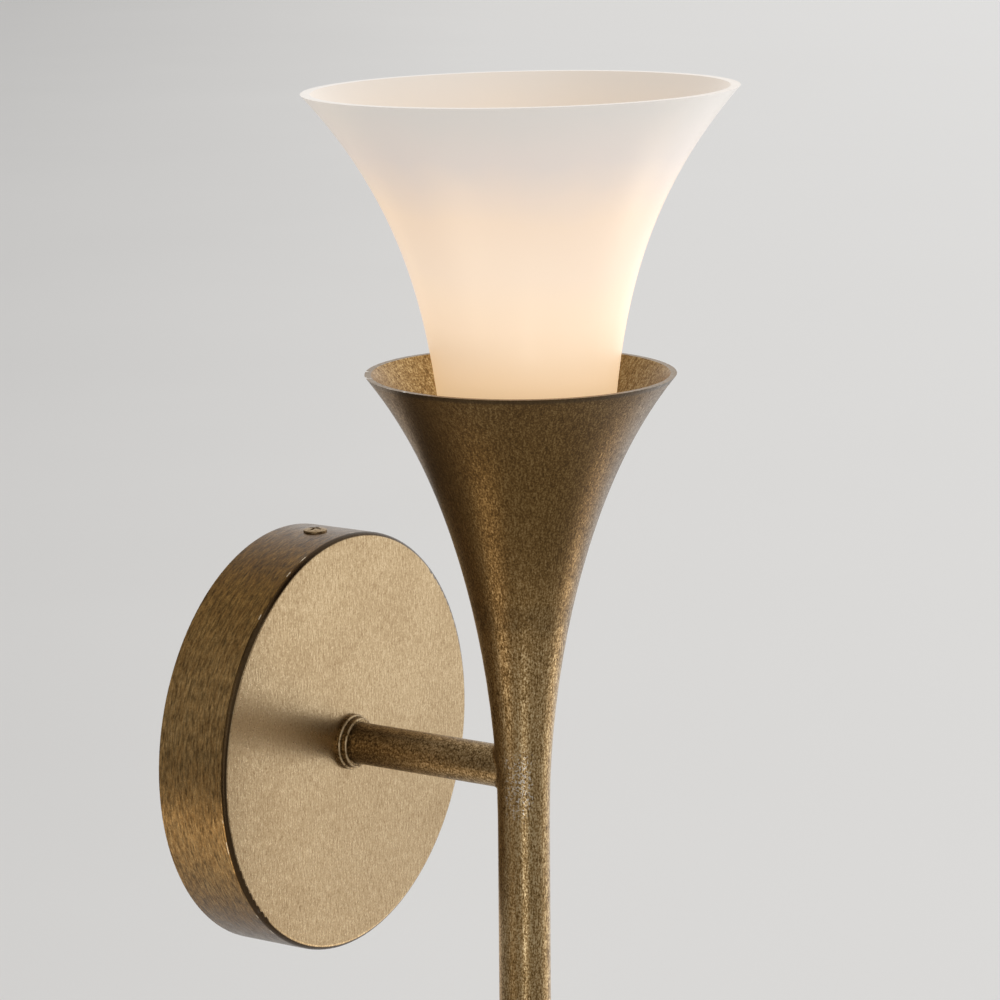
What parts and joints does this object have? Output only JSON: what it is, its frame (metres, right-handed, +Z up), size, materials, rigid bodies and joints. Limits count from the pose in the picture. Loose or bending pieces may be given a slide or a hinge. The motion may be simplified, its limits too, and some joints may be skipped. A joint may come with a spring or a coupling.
{
  "type": "torch wall sconce",
  "caption": "Wall sconce with a round canopy, a short arm and an upright trumpet stem whose cup holds a flared opal glass shade round a two-pin bulb.",
  "frame": {"origin": "centre of the canopy's back face, on the wall plane and on the arm's axis", "axes": "+Y into the wall, -Y into the room, +Z up along the stem, +X to the right of someone facing the wall"},
  "size_m": [0.127, 0.148, 0.4571],
  "materials": {
    "aged_brass": "aged, brushed, lacquered",
    "screw_brass": "aged",
    "zinc_steel": "zinc plated",
    "green_screw": "green plated",
    "silicone": "matt, translucent white",
    "opal_glass": "opal white, satin outside",
    "ceramic": "unglazed white",
    "contact_brass": "bright",
    "bulb_plastic": "satin",
    "frosted_glass": "frosted",
    "bulb_core": "matt",
    "black_insulation": "satin",
    "white_insulation": "satin",
    "copper": "bare copper",
    "connector_plastic": "ribbed"
  },
  "bodies": {
    "root": {"canopy": "aged_brass", "crossbar": "zinc_steel", "side_screws": "screw_brass", "ground_screw": "green_screw", "nipple": "zinc_steel", "lock_washer": "zinc_steel", "lock_nut": "zinc_steel", "arm_collar": "aged_brass", "arm": "aged_brass", "stem": "aged_brass", "stem_plug": "aged_brass", "trumpet_cup": "aged_brass", "shade_seat": "aged_brass", "shade_gasket": "silicone", "lamp_socket": "ceramic", "socket_contacts": "contact_brass", "socket_screws": "zinc_steel", "lead_line": "black_insulation", "lead_neutral": "white_insulation", "ground_wire": "copper", "wire_connectors": "connector_plastic"},
    "shade": {"glass_shade": "opal_glass"},
    "bulb": {"bulb_base": "bulb_plastic", "bulb_pins": "zinc_steel", "bulb_envelope": "frosted_glass", "bulb_core": "bulb_core"}
  },
  "joints": [
    {"name": "shade_lift", "type": "slide", "parent": "root", "child": "shade", "axis": [0, 0, 1], "range_m": [0, 0.15]},
    {"name": "bulb_pull", "type": "slide", "parent": "root", "child": "bulb", "axis": [0, 0, 1], "range_m": [0, 0.12]}
  ]
}
